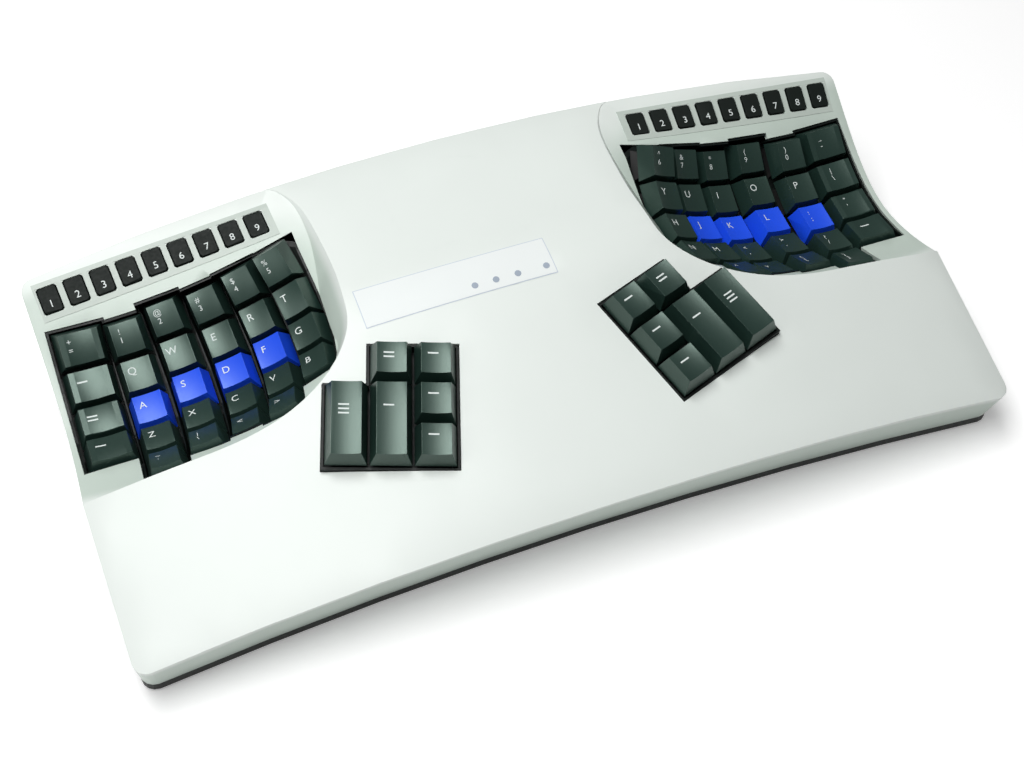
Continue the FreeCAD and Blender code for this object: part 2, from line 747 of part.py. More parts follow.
def function_holes():
    x, y = FUNCTION_X + 2 * FUNCTION_HOLE_GAP, FUNCTION_Y + 2 * FUNCTION_HOLE_GAP
    last = FUNCTION_COUNT - 1
    holes = []
    for i in range(FUNCTION_COUNT):
        hole = stacked(chamfered(x, y, -9.0, FUNCTION_CORNER), chamfered(x, y, 9.0, FUNCTION_CORNER))
        holes.append(placed(hole, function_place(i / last)))
    return holes


def function_board_top():
    return -WEB_DEPTH - WEB_THICKNESS - FUNCTION_BOARD_GAP


def pad_front():
    return -FUNCTION_Y / 2.0 - WEB_MARGIN - WEB_GAP - PAD_Y


def function_board():
    top = function_board_top()
    front = pad_front() + PAD_OVERHANG
    return function_strip(front, FUNCTION_BOARD_REAR, top - FUNCTION_BOARD_THICKNESS, top)


def function_pads():
    """Pads under the case that the small board is held against."""
    y = pad_front()
    pad = box(-PAD_X / 2, PAD_X / 2, y, y + PAD_Y, function_board_top() + PAD_GAP, 6.0)
    return [placed(pad, function_place(t)) for t in PAD_AT]


# Case pieces


def both_sides(shapes):
    return list(shapes) + [mirrored(s) for s in shapes]


def lamp_place(x):
    slope = degrees(atan(PALM_SLOPE))
    return place(x, LAMP_Y, palm_height(x, LAMP_Y)) * turn_x(slope)


def top_housing(scoop):
    outer = case_block(SEAM_Z, ROOF_Z).common(under_deck())
    cavity = case_block(SEAM_Z - 3.0, ROOF_Z, WALL).common(under_deck(WALL))
    grown = bowl_tool(WALL)
    keep = both_sides([grown] + thumb_bosses() + function_pads())
    for x, y, top in CASE_SCREWS:
        keep.append(rod(BOSS_RADIUS, x, y, SEAM_Z, top))
    for x, front in RIBS:
        keep.append(box(x - RIB_WALL / 2, x + RIB_WALL / 2, front, 98.0, RIB_BOTTOM_Z, ROOF_Z))
    cavity = cavity.cut(keep)
    housing = outer.cut([cavity] + both_sides([scoop]))
    cutters = both_sides([case_opening(), thumb_prism(THUMB_KEY_GAP + THUMB_WALL + FRAME_GAP, -9.0, 12.0)]
                         + function_holes() + thumb_pilots())
    for x, y, top in CASE_SCREWS:
        cutters.append(rod(SCREW_RADIUS + PILOT_CLEARANCE, x, y, SEAM_Z - 1.0, SEAM_Z + SCREW_BITE + 2.0))
    for x in LAMP_X:
        hole = rod(LAMP_RADIUS + LAMP_CLEARANCE, 0, 0, -9.0, 4.0, LAMP_SIDES)
        cutters.append(placed(hole, lamp_place(x)))
    cutters.append(bush_rod(BUSH_BODY_RADIUS + BUSH_CLEARANCE, -12.0, 8.0))
    return housing.cut(cutters)


def base_tray():
    floor_top = TRAY_BOTTOM_Z + TRAY_FLOOR
    seam = case_outline(SEAM_Z)
    outer = stacked([V(p.x, p.y, TRAY_BOTTOM_Z) for p in seam], seam)
    lip = case_block(SEAM_Z - 1.0, LIP_TOP_Z, WALL + LIP_GAP)
    hollow = case_block(floor_top, LIP_TOP_Z + 5.0, WALL + LIP_GAP + LIP_THICKNESS)
    notches = [rod(BOSS_RADIUS + LIP_GAP, x, y, SEAM_Z, LIP_TOP_Z + 1.0) for x, y, top in CASE_SCREWS]
    tray = outer.fuse(lip).cut([hollow] + notches)
    adds, cutters = [], []
    for x, y, top in CASE_SCREWS:
        adds.append(rod(BOSS_RADIUS, x, y, floor_top, SEAM_Z))
        cutters += screw_hole(x, y, SEAM_Z)
    for p in junctions():
        for x in (p.x, -p.x):
            adds.append(rod(POST_RADIUS, x, p.y, floor_top, FRAME_BOSS_BOTTOM_Z))
            cutters += screw_hole(x, p.y, FRAME_BOSS_BOTTOM_Z)
    for x, y in standoffs():
        adds.append(rod(STANDOFF_RADIUS, x, y, floor_top, PCB_Z))
    return joined([tray] + adds).cut(cutters)


def screw_hole(x, y, top):
    radius = SCREW_HEAD_RADIUS + SCREW_CLEARANCE
    depth = SCREW_HEAD + SCREW_HEAD_SINK
    return [rod(SCREW_RADIUS + SCREW_CLEARANCE, x, y, TRAY_BOTTOM_Z - 1.0, top + 1.0),
            rod(radius, x, y, TRAY_BOTTOM_Z - 1.0, TRAY_BOTTOM_Z + depth)]


def screw(length):
    """Pan-head screw that points up, with the top of its head at Z = 0."""
    return rod(SCREW_HEAD_RADIUS, 0, 0, -SCREW_HEAD, 0).fuse(rod(SCREW_RADIUS, 0, 0, 0, length))


def standoffs():
    x, y = PCB_X / 2 - 6.0, PCB_Y / 2 - 6.0
    return [(sx * x, PCB_CENTRE_Y + sy * y) for sx in (-1, 1) for sy in (-1, 1)]


def screws():
    seat = TRAY_BOTTOM_Z + SCREW_HEAD + SCREW_HEAD_SINK
    out = []
    for x, y, top in CASE_SCREWS:
        out.append(placed(screw(SEAM_Z - seat + SCREW_BITE), place(x, y, seat)))
    for p in junctions():
        for x in (p.x, -p.x):
            out.append(placed(screw(FRAME_BOSS_BOTTOM_Z - seat + 5.0), place(x, p.y, seat)))
    ears = []
    bottom = thumb_plate_z() - PLATE_THICKNESS
    for x, y in thumb_ears():
        ears.append(placed(screw(PLATE_THICKNESS + 2.2), thumb_frame() * place(x, y, bottom)))
    return out + both_sides(ears)


def feet():
    out = []
    for x, y in FEET:
        pad = stacked(chamfered(FOOT_X - 1.0, FOOT_Y - 1.0, 0.0, 3.0),
                      chamfered(FOOT_X, FOOT_Y, TRAY_BOTTOM_Z, 3.0))
        out.append(placed(pad, place(x, y, 0.0)))
    return out


def circuit_boards():
    """Main board with its parts on top, and the two small function boards."""
    y0 = PCB_CENTRE_Y - PCB_Y / 2
    top = PCB_Z + PCB_THICKNESS
    board = box(-PCB_X / 2, PCB_X / 2, y0, y0 + PCB_Y, PCB_Z, top)
    parts = [
        box(-16.0, 16.0, y0 + 22.0, y0 + 36.0, top, top + 4.0),
        box(-40.0, -34.0, y0 + 14.0, y0 + 44.0, top, top + 8.5),
        box(34.0, 40.0, y0 + 14.0, y0 + 44.0, top, top + 8.5),
        box(-10.0, 10.0, y0 + PCB_Y - 8.0, y0 + PCB_Y - 2.0, top, top + 7.0),
        box(20.0, 28.0, y0 + 24.0, y0 + 34.0, top, top + 3.0),
    ]
    return [board.fuse(parts)] + both_sides([function_board()])


def lamps():
    out = []
    for x in LAMP_X:
        foot = -WALL - LAMP_FLANGE_DROP - 1.2
        stem = rod(LAMP_RADIUS, 0, 0, foot, LAMP_PROUD, LAMP_SIDES)
        flange = rod(LAMP_RADIUS + LAMP_FLANGE, 0, 0, foot, foot + 1.2)
        out.append(placed(stem.fuse(flange), lamp_place(x)))
    return out


def bush_rod(radius, y0, y1):
    """Rod along Y, counted from the outside of the rear wall."""
    wall_y = REAR_MIDDLE_Y + REAR_LEAN * (BUSH_Z - SEAM_Z)
    return placed(rod(radius, 0, 0, y0, y1, 16), place(0, wall_y, BUSH_Z) * turn_x(-90.0))


def cord_bush():
    flange = bush_rod(BUSH_FLANGE_RADIUS, 0.3, 0.3 + BUSH_FLANGE)
    body = bush_rod(BUSH_BODY_RADIUS, -WALL - 2.5, 0.5)
    return flange.fuse(body).cut(bush_rod(BUSH_BORE, -10.0, 10.0))


# All pieces

WELL_KEY_GROUPS = [
    ("number_keys_outer", 0, (0, 1)), ("number_keys_middle", 0, (2, 3)), ("number_keys_inner", 0, (4, 5)),
    ("upper_keys_outer", 1, (0, 1)), ("upper_keys_middle", 1, (2, 3)), ("upper_keys_inner", 1, (4, 5)),
    ("home_key_outer", 2, (0,)), ("home_key_little", 2, (1,)), ("home_key_ring", 2, (2,)),
    ("home_key_middle", 2, (3,)), ("home_key_index", 2, (4,)), ("home_key_inner", 2, (5,)),
    ("lower_keys_outer", 3, (0, 1)), ("lower_keys_middle", 3, (2, 3)), ("lower_keys_inner", 3, (4, 5)),
    ("bottom_keys_outer", 4, (1, 2)), ("bottom_keys_inner", 4, (3, 4)),
]


def all_switches():
    bodies = []
    for column, (rear, up, first, last) in enumerate(COLUMNS):
        for row in range(first, last + 1):
            bodies.append(placed(switch_body(), key_place(column, row)))
    for name, u, v, units in THUMB_KEYS:
        bodies.append(placed(switch_body(), thumb_place(u, v)))
    return both_sides(bodies)


def main():
    os.makedirs("parts", exist_ok=True)
    scoop = bowl_tool()
    export("top_housing", top_housing(scoop))
    export("base_tray", base_tray())
    frame = key_frame(frame_trim())
    export("left_key_frame", frame)
    export("right_key_frame", mirrored(frame))
    tray = thumb_tray()
    export("left_thumb_tray", tray)
    export("right_thumb_tray", mirrored(tray))
    export("switch_bodies", all_switches())
    keypad = function_keypad()
    export("left_function_keypad", keypad)
    export("right_function_keypad", mirrored(keypad))
    export("circuit_boards", circuit_boards())
    export("rubber_feet", feet())
    export("case_screws", screws())
    export("indicator_lamps", lamps())
    export("cord_bush", cord_bush())
    for name, row, columns in WELL_KEY_GROUPS:
        keys = []
        for column in columns:
            keys += key(cap_units(column), 1.0, key_place(column, row))
        export("left_" + name, keys)
        export("right_" + name, [mirrored(s) for s in keys])
    for name, u, v, units in THUMB_KEYS:
        keys = key(1.0, units, thumb_place(u, v))
        export("left_thumb_" + name, keys)
        export("right_thumb_" + name, [mirrored(s) for s in keys])


main()
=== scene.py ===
import json
from math import asin, cos, hypot, radians, sin, tan

import bmesh
import bpy
from mathutils import Matrix, Vector


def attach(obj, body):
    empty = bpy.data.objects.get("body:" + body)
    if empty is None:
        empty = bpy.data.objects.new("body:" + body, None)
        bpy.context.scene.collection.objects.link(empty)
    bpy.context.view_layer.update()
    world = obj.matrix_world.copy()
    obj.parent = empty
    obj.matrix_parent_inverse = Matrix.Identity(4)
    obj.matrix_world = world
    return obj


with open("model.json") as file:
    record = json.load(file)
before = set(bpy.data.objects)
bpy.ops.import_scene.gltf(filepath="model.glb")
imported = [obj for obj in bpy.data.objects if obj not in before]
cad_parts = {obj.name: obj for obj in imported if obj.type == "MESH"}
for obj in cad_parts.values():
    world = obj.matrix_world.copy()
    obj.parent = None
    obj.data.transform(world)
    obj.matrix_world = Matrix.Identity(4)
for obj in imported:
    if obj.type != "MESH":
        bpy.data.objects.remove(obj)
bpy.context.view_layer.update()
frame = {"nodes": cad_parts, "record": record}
NODES = frame["nodes"]
MM = 0.001

# Camera, fitted to the photograph: lens and sensor in millimetres, place in metres, unit axes

LENS = 57.45
SENSOR = 36.0
CLIP = (0.02, 30.0)
CAMERA_AT = (-0.18288, -0.46213, 0.60786)
CAMERA_RIGHT = (0.93218, -0.36198, 0.00269)
CAMERA_DOWN = (-0.27754, -0.71946, -0.63668)
CAMERA_LOOK = (0.23240, 0.59275, -0.77113)


def make_camera():
    data = bpy.data.cameras.new("camera")
    data.sensor_width = SENSOR
    data.lens = LENS
    data.clip_start, data.clip_end = CLIP
    camera = bpy.data.objects.new("camera", data)
    bpy.context.scene.collection.objects.link(camera)
    right, down, look = Vector(CAMERA_RIGHT), Vector(CAMERA_DOWN), Vector(CAMERA_LOOK)
    turn = Matrix((right, -down, -look)).transposed().to_4x4()
    camera.matrix_world = Matrix.Translation(CAMERA_AT) @ turn
    bpy.context.scene.camera = camera


# Materials


class Nodes:
    """Small helper round one material's node tree."""

    def __init__(self, name, base, roughness):
        self.material = bpy.data.materials.new(name)
        self.material.use_nodes = True
        self.tree = self.material.node_tree
        self.shader = self.tree.nodes["Principled BSDF"]
        self.shader.inputs["Base Color"].default_value = (*base, 1.0)
        self.shader.inputs["Roughness"].default_value = roughness
        self.coords = self.tree.nodes.new("ShaderNodeTexCoord")

    def new(self, kind, **values):
        node = self.tree.nodes.new(kind)
        for key, value in values.items():
            setattr(node, key, value)
        return node

    def link(self, a, b):
        self.tree.links.new(a, b)

    def noise(self, scale, detail):
        node = self.new("ShaderNodeTexNoise")
        node.inputs["Scale"].default_value = scale
        node.inputs["Detail"].default_value = detail
        self.link(self.coords.outputs["Object"], node.inputs["Vector"])
        return node.outputs["Fac"]

    def math(self, operation, a, b):
        node = self.new("ShaderNodeMath", operation=operation)
        for socket, value in zip(node.inputs, (a, b)):
            if isinstance(value, float):
                socket.default_value = value
            else:
                self.link(value, socket)
        return node.outputs[0]

    def ramp(self, fac, low, high, start, end):
        node = self.new("ShaderNodeValToRGB")
        node.color_ramp.elements[0].position = start
        node.color_ramp.elements[1].position = end
        node.color_ramp.elements[0].color = low
        node.color_ramp.elements[1].color = high
        self.link(fac, node.inputs["Fac"])
        return node.outputs["Color"]

    def bump(self, height, strength, distance):
        node = self.new("ShaderNodeBump")
        node.inputs["Strength"].default_value = strength
        node.inputs["Distance"].default_value = distance
        self.link(height, node.inputs["Height"])
        return node.outputs["Normal"]


GLOSS_TINT = (0.78, 1.0, 0.89, 1.0)
PLAIN_GLOSS = 0.5
GLOSS_SPREAD = 0.12
# scale and detail of the slow change of tone, detail and strength of the grain
TONE_SCALE = 18.0
TONE_DETAIL = 4.0
GRAIN_DETAIL = 2.0
GRAIN_STRENGTH = 0.35
# where the noise starts and stops changing the tone and the gloss
BAND = (0.3, 0.7)
# deck surface in millimetres, as in the CAD: height, slope and crown of the palm part,
# height and crown of the level part, and the radius of the blend between them
PALM = (70.63, 0.2777, 0.000379)
LEVEL = (74.8, 0.000166)
BLEND_RADIUS = 100.0
# painted shade on what lies below the deck: its colour, and the depths in metres between which it sets
# in
PAINTED_RECESS_SHADE = (0.72, 0.78, 0.735, 1.0)
PAINTED_SHADE_DEPTH = (0.0006, 0.0065)


def tint(base, factor):
    return (*[min(1.0, c * factor) for c in base], 1.0)


def painted_recess_shade(n, color):
    """Painted shade: a darker, greener tone on what lies below the deck, on the walls and the bowls'
    surrounds.
    """
    at = n.new("ShaderNodeSeparateXYZ")
    n.link(n.coords.outputs["Object"], at.inputs[0])
    x, y, z = at.outputs
    square = n.math("MULTIPLY", x, x)
    palm = n.math("ADD", n.math("MULTIPLY", y, PALM[1]), PALM[0] * MM)
    palm = n.math("SUBTRACT", palm, n.math("MULTIPLY", square, PALM[2] / MM))
    level = n.math("SUBTRACT", LEVEL[0] * MM, n.math("MULTIPLY", square, LEVEL[1] / MM))
    # how deep the point lies below the deck sets how much painted shade it gets
    depth = n.math("SUBTRACT", n.math("MINIMUM", palm, level), z)
    share = n.new("ShaderNodeMapRange", interpolation_type="SMOOTHSTEP")
    share.inputs["From Min"].default_value, share.inputs["From Max"].default_value = PAINTED_SHADE_DEPTH
    n.link(depth, share.inputs["Value"])
    mix = n.new("ShaderNodeMix", data_type="RGBA", blend_type="MULTIPLY")
    n.link(share.outputs["Result"], mix.inputs[0])
    n.link(color, mix.inputs[6])
    mix.inputs[7].default_value = PAINTED_RECESS_SHADE
    return mix.outputs[2]


def plastic(name, base, roughness, grain=900.0, grain_depth=0.00004, variation=0.05,
            gloss=PLAIN_GLOSS):
    """Moulded plastic: fine spark-eroded grain, slight tone and gloss variation."""
    n = Nodes(name, base, roughness)
    n.shader.inputs["Specular IOR Level"].default_value = gloss
    if gloss > PLAIN_GLOSS:
        n.shader.inputs["Specular Tint"].default_value = GLOSS_TINT
    tone = n.noise(TONE_SCALE, TONE_DETAIL)
    color = n.ramp(tone, tint(base, 1.0 - variation), tint(base, 1.0 + variation), *BAND)
    # the case's colour gets painted shade where it lies below the deck
    n.link(painted_recess_shade(n, color) if name == "case_grey" else color, n.shader.inputs["Base Color"])
    fine = n.noise(grain, GRAIN_DETAIL)
    low = (roughness * (1.0 - GLOSS_SPREAD),) * 3 + (1,)
    high = (min(1.0, roughness * (1.0 + GLOSS_SPREAD)),) * 3 + (1,)
    n.link(n.ramp(fine, low, high, *BAND), n.shader.inputs["Roughness"])
    n.link(n.bump(fine, GRAIN_STRENGTH, grain_depth), n.shader.inputs["Normal"])
    return n.material


CASE = (0.76, 0.81, 0.775)
MATERIALS = {
    "case_grey": plastic("case_grey", CASE, 0.40, grain=1400.0, variation=0.012),
    "base_black": plastic("base_black", (0.008, 0.010, 0.009), 0.5, gloss=0.35),
    "frame_black": plastic("frame_black", (0.003, 0.006, 0.005), 0.45, gloss=0.3),
    "key_black": plastic("key_black", (0.012, 0.030, 0.024), 0.37, grain=1800.0,
                         variation=0.12, gloss=1.0),
    "key_blue": plastic("key_blue", (0.008, 0.075, 0.82), 0.43, grain=1800.0,
                        variation=0.08, gloss=0.8),
    "keypad_rubber": plastic("keypad_rubber", (0.004, 0.008, 0.006), 0.62,
                             variation=0.1, gloss=0.25),
    "switch_brown": plastic("switch_brown", (0.02, 0.02, 0.02), 0.5),
    "board_green": plastic("board_green", (0.02, 0.12, 0.05), 0.45),
    "foot_rubber": plastic("foot_rubber", (0.015, 0.015, 0.015), 0.8),
    "screw_steel": plastic("screw_steel", (0.45, 0.45, 0.46), 0.35),
    "lamp_lens": plastic("lamp_lens", (0.36, 0.42, 0.50), 0.25),
    "legend_white": plastic("legend_white", (0.70, 0.76, 0.74), 0.6, variation=0.03),
    "plate": plastic("plate", (0.80, 0.84, 0.83), 0.5, variation=0.02),
    "plate_edge": plastic("plate_edge", (0.54, 0.60, 0.68), 0.5, variation=0.02),
    "panel": plastic("panel", (0.50, 0.565, 0.515), 0.45, variation=0.02),
}
STEEL_SHADER = MATERIALS["screw_steel"].node_tree.nodes["Principled BSDF"]
STEEL_SHADER.inputs["Metallic"].default_value = 1.0

SLOTS = {s["node"]: s["material_slot"] for s in frame["record"]["subparts"]}

# moulded edges: radii in millimetres, the least angle in degrees that is rounded, weld in metres
CAP_EDGE = 0.55
CASE_EDGE = 0.5
SMALL_EDGE = 0.3
EDGE_SEGMENTS = 3
SHARP = 28.0
WELD = 0.00001


def dress_cad():
    """Procedural finish for every CAD piece, with softened moulded edges."""
    for name, node in NODES.items():
        node.data.materials.clear()
        node.data.materials.append(MATERIALS[SLOTS[name]])
        edge = 0.0
        if SLOTS[name] in ("key_black", "key_blue"):
            edge = CAP_EDGE
        elif name == "top_housing":
            edge = CASE_EDGE
        elif "function_keypad" in name or name in ("base_tray", "cord_bush", "rubber_feet"):
            edge = SMALL_EDGE
        if edge:
            weld = node.modifiers.new("weld", "WELD")
            weld.merge_threshold = WELD
            bevel = node.modifiers.new("bevel", "BEVEL")
            bevel.width = edge * MM
            bevel.segments = EDGE_SEGMENTS
            bevel.limit_method = "ANGLE"
            bevel.angle_limit = radians(SHARP)
            bevel.use_clamp_overlap = True
            bevel.harden_normals = False


# Where the keys are, in millimetres and degrees, as in the CAD

KEY_UNIT = 19.05
CAP_HEIGHT = 8.4
COLUMN_RADIUS = 62.8
ROW_ANGLE = 15.92
COLUMN_ANGLE = 5.78
COLUMN_PITCH = 19.97
COLUMN_LOWEST = 0.303
BOWL_AT = (-180.3, 29.3, 31.3)
BOWL_PITCH = 7.4
OUTER_SHIFT = 2.4
COLUMNS = [(-5.7, 8.2), (-7.6, 8.6), (-0.6, 3.5), (0.0, 0.0), (-0.4, 2.1), (-3.5, 6.3)]
THUMB_AT = (-70.7, -33.7, 60.5)
THUMB_TURN = -18.75
THUMB_SLOPE = 15.52
FUNCTION_OUTER = Vector((-195.3, 78.5, 62.4))
FUNCTION_INNER = Vector((-96.9, 83.5, 70.5))
FUNCTION_TILT = (31.0, 16.0)
FUNCTION_COUNT = 9


def shift(x, y, z):
    return Matrix.Translation((x, y, z))


def turned(axis, angle):
    return Matrix.Rotation(radians(angle), 4, axis)


def key_place(column, row):
    """Frame of one bowl key of the left hand: Z points out of the middle of the key's top."""
    rear, up = COLUMNS[column]
    across = COLUMN_PITCH / (2.0 * sin(radians(COLUMN_ANGLE / 2.0)))
    lean = (column - COLUMN_LOWEST) * COLUMN_ANGLE
    place = shift(*BOWL_AT) @ turned("X", BOWL_PITCH)
    place = place @ shift(0, 0, across) @ turned("Y", -lean) @ shift(0, 0, -across)
    place = place @ shift(-OUTER_SHIFT if column == 0 else 0.0, rear, up)
    place = place @ shift(0, 0, COLUMN_RADIUS) @ turned("X", (2 - row) * ROW_ANGLE)
    return place @ shift(0, 0, -COLUMN_RADIUS)


def thumb_place(u, v):
    """Frame of one thumb key of the left hand, u and v key units from the cluster's middle."""
    cluster = shift(*THUMB_AT) @ turned("X", THUMB_SLOPE) @ turned("Z", THUMB_TURN)
    return cluster @ shift(u * KEY_UNIT, v * KEY_UNIT, CAP_HEIGHT)


def function_place(t):
    """Frame of a function key of the left hand, t from 0 at the outer key to 1 at the inner."""
    at = FUNCTION_OUTER.lerp(FUNCTION_INNER, t)
    run = FUNCTION_INNER - FUNCTION_OUTER
    yaw, roll = asin(run.y / hypot(run.x, run.y)), asin(run.z / run.length)
    tilt = FUNCTION_TILT[0] + (FUNCTION_TILT[1] - FUNCTION_TILT[0]) * t
    row = shift(*at) @ Matrix.Rotation(yaw, 4, "Z") @ Matrix.Rotation(-roll, 4, "Y")
    return row @ turned("X", tilt)


# Printed characters: sizes and places in millimetres, in each key's own frame

PRINT_LIFT = 0.03
DISH_RADIUS = 36.0
FLAT = 1000.0
LARGE_PRINT = 5.0
SMALL_PRINT = 3.7
DIGIT_PRINT = 4.9
DIGIT_Y = -2.2
PAIR_Y = (1.4, -2.6)
KEY_PRINT_AT = (-2.6, 1.9)
WIDE_KEY_SHIFT = 2.0
THUMB_PRINT_X = -2.2
THUMB_PRINT_Y = 2.2
TALL_PRINT_Y = 6.0


def mirror_place(place, right):
    """The same place on the right half, with its X axis still to the right, so print isn't mirrored."""
    if not right:
        return place
    flip = Matrix.Scale(-1.0, 4, (1, 0, 0))
    return flip @ place @ flip


def glyph_mesh(text, size):
    curve = bpy.data.curves.new("glyph", "FONT")
    curve.body = text
    curve.size = size
    curve.align_x = "CENTER"
    curve.align_y = "CENTER"
    holder = bpy.data.objects.new("glyph", curve)
    bpy.context.scene.collection.objects.link(holder)
    bpy.context.view_layer.update()
    mesh = bpy.data.meshes.new_from_object(holder)
    bpy.data.objects.remove(holder)
    return mesh


def print_on(bm, text, size, x, y, place, dish=DISH_RADIUS):
    """Adds one flat character to bm, lying on the dished top of a key."""
    mesh = glyph_mesh(text, size)
    start = len(bm.verts)
    bm.from_mesh(mesh)
    bpy.data.meshes.remove(mesh)
    bm.verts.ensure_lookup_table()
    for vert in bm.verts[start:]:
        px, py = vert.co.x + x, vert.co.y + y
        vert.co = (place @ Vector((px, py, px * px / (2.0 * dish) + PRINT_LIFT))) * MM


def piece_from(bm, name, body, material):
    """Turns bm into a piece of the scene that rides on body."""
    mesh = bpy.data.meshes.new(name)
    bm.to_mesh(mesh)
    bm.free()
    mesh.materials.append(MATERIALS[material])
    obj = bpy.data.objects.new(name, mesh)
    bpy.context.scene.collection.objects.link(obj)
    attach(obj, body)
    return obj


# body of the keys, its row from the rear, and its columns from the outermost inwards
WELL_GROUPS = [
    ("number_keys_outer", 0, (0, 1)),
    ("number_keys_middle", 0, (2, 3)),
    ("number_keys_inner", 0, (4, 5)),
    ("upper_keys_outer", 1, (0, 1)),
    ("upper_keys_middle", 1, (2, 3)),
    ("upper_keys_inner", 1, (4, 5)),
    ("home_key_outer", 2, (0,)),
    ("home_key_little", 2, (1,)),
    ("home_key_ring", 2, (2,)),
    ("home_key_middle", 2, (3,)),
    ("home_key_index", 2, (4,)),
    ("home_key_inner", 2, (5,)),
    ("lower_keys_outer", 3, (0, 1)),
    ("lower_keys_middle", 3, (2, 3)),
    ("lower_keys_inner", 3, (4, 5)),
    ("bottom_keys_outer", 4, (1, 2)),
    ("bottom_keys_inner", 4, (3, 4)),
]
# thumb key, its place in key units, and how many short bars are printed on it
THUMB_KEYS = [
    ("outer_tall", -1.0, -0.5, 3),
    ("middle_tall", 0.0, -0.5, 1),
    ("upper_middle", 0.0, 1.0, 2),
    ("upper_inner", 1.0, 1.0, 1),
    ("centre_inner", 1.0, 0.0, 1),
    ("lower_inner", 1.0, -1.0, 1),
]
# one entry per key, from the outermost column inwards; a number stands for that many short bars
LEFT_PRINT = [
    ["+=", "!1", "@2", "#3", "$4", "%5"],
    [1, "Q", "W", "E", "R", "T"],
    [2, "A", "S", "D", "F", "G"],
    [1, "Z", "X", "C", "V", "B"],
    ["", "~`", "|\\", "<", ">", ""],
]
RIGHT_PRINT = [
    ["_-", ")0", "(9", "*8", "&7", "^6"],
    ["|\\", "P", "O", "I", "U", "Y"],
    ["\"'", ":;", "L", "K", "J", "H"],
    [1, "?/", ">.", "<,", "M", "N"],
    ["", "}]", "{[", "v", "^", ""],
]
# length and width of a bar, how far it lies to the right of a character's place, bar pitch
BAR = (4.6, 0.75)
BAR_SHIFT = 1.0
BAR_PITCH = 2.0
BAR_STEPS = 6


def bar_on(bm, x, y, place):
    """Adds a short printed bar to bm, lying on the dished top of a key."""
    w, h = BAR
    rows = []
    for edge in (-h / 2.0, h / 2.0):
        row = []
        for i in range(BAR_STEPS + 1):
            px = x - w / 2.0 + w * i / BAR_STEPS
            point = Vector((px, y + edge, px * px / (2.0 * DISH_RADIUS) + PRINT_LIFT))
            row.append(bm.verts.new((place @ point) * MM))
        rows.append(row)
    for i in range(BAR_STEPS):
        bm.faces.new((rows[0][i], rows[0][i + 1], rows[1][i + 1], rows[1][i]))


def mark_key(bm, mark, x, y, place):
    """One key's print: bars, one large character, or two small ones, one above the other."""
    if isinstance(mark, int):
        for i in range(mark):
            bar_on(bm, x + BAR_SHIFT, y - BAR_PITCH * i, place)
    elif len(mark) == 1:
        print_on(bm, mark, LARGE_PRINT, x, y, place)
    elif mark:
        for character, dy in zip(mark, PAIR_Y):
            print_on(bm, character, SMALL_PRINT, x, y + dy, place)


def print_keys():
    for side, right, rows in (("left", False, LEFT_PRINT), ("right", True, RIGHT_PRINT)):
        for name, row, columns in WELL_GROUPS:
            bm = bmesh.new()
            for column in columns:
                x, y = KEY_PRINT_AT
                if column == 0 and not right:
                    x -= WIDE_KEY_SHIFT
                place = mirror_place(key_place(column, row), right)
                mark_key(bm, rows[row][column], x, y, place)
            body = "%s_%s" % (side, name)
            piece_from(bm, "print_" + body, body, "legend_white")
        for name, u, v, bars in THUMB_KEYS:
            bm = bmesh.new()
            y = TALL_PRINT_Y if "tall" in name else THUMB_PRINT_Y
            mark_key(bm, bars, THUMB_PRINT_X, y, mirror_place(thumb_place(u, v), right))
            body = "%s_thumb_%s" % (side, name)
            piece_from(bm, "print_" + body, body, "legend_white")
        bm = bmesh.new()
        for i in range(FUNCTION_COUNT):
            digit = str(FUNCTION_COUNT - i) if right else str(i + 1)
            place = mirror_place(function_place(i / (FUNCTION_COUNT - 1)), right)
            print_on(bm, digit, DIGIT_PRINT, 0.0, DIGIT_Y, place, FLAT)
        body = side + "_function_keypad"
        piece_from(bm, "print_" + body, body, "legend_white")


# Panel round the function keys, in millimetres: half a hole's sizes, reach at its ends and sides

HOLE = (4.9, 6.6)
PANEL_ENDS = (6.0, 8.4)
PANEL_SIDES = (-9.4, 9.0)
PANEL_LIFT = 0.10
PANEL_THICKNESS = 0.25
RAY_START = 8.0


def function_panel(side, right):
    """Thin sheet that lies on the case round the nine keys of one side."""
    housing = NODES["top_housing"]
    inverse = housing.matrix_world.inverted()
    columns = [(0.0, -PANEL_ENDS[0])]
    for i in range(FUNCTION_COUNT):
        t = i / (FUNCTION_COUNT - 1)
        columns += [(t, -HOLE[0]), (t, HOLE[0])]
    columns.append((1.0, PANEL_ENDS[1]))
    across = [PANEL_SIDES[0], -HOLE[1], HOLE[1], PANEL_SIDES[1]]
    bm = bmesh.new()
    grid = []
    for t, x in columns:
        place = mirror_place(function_place(t), right)
        line = []
        for y in across:
            start = (place @ Vector((-x if right else x, y, RAY_START))) * MM
            up = place.to_3x3() @ Vector((0, 0, 1))
            at = housing.ray_cast(inverse @ start, inverse.to_3x3() @ -up)[1]
            line.append(bm.verts.new(housing.matrix_world @ at + up * PANEL_LIFT * MM))
        grid.append(line)
    for i in range(len(columns) - 1):
        for j in range(len(across) - 1):
            is_hole = j == 1 and i % 2 == 1
            if not is_hole:
                bm.faces.new((grid[i][j], grid[i + 1][j], grid[i + 1][j + 1], grid[i][j + 1]))
    bmesh.ops.recalc_face_normals(bm, faces=bm.faces)
    obj = piece_from(bm, side + "_function_panel", "case", "panel")
    solid = obj.modifiers.new("thickness", "SOLIDIFY")
    solid.thickness = PANEL_THICKNESS * MM
    solid.offset = 0.0


# Bare plate on the deck between the hands, in millimetres: outline (x0, x1, y0, y1), border width,
# and the lift and thickness of each of its two sheets

PLATE = (-69.0, 22.0, 3.6, 23.6)
PLATE_BORDER = 0.4
BORDER_SHEET = (0.10, 0.08)
FACE_SHEET = (0.16, 0.06)
PATCH_GRID = (46, 22)


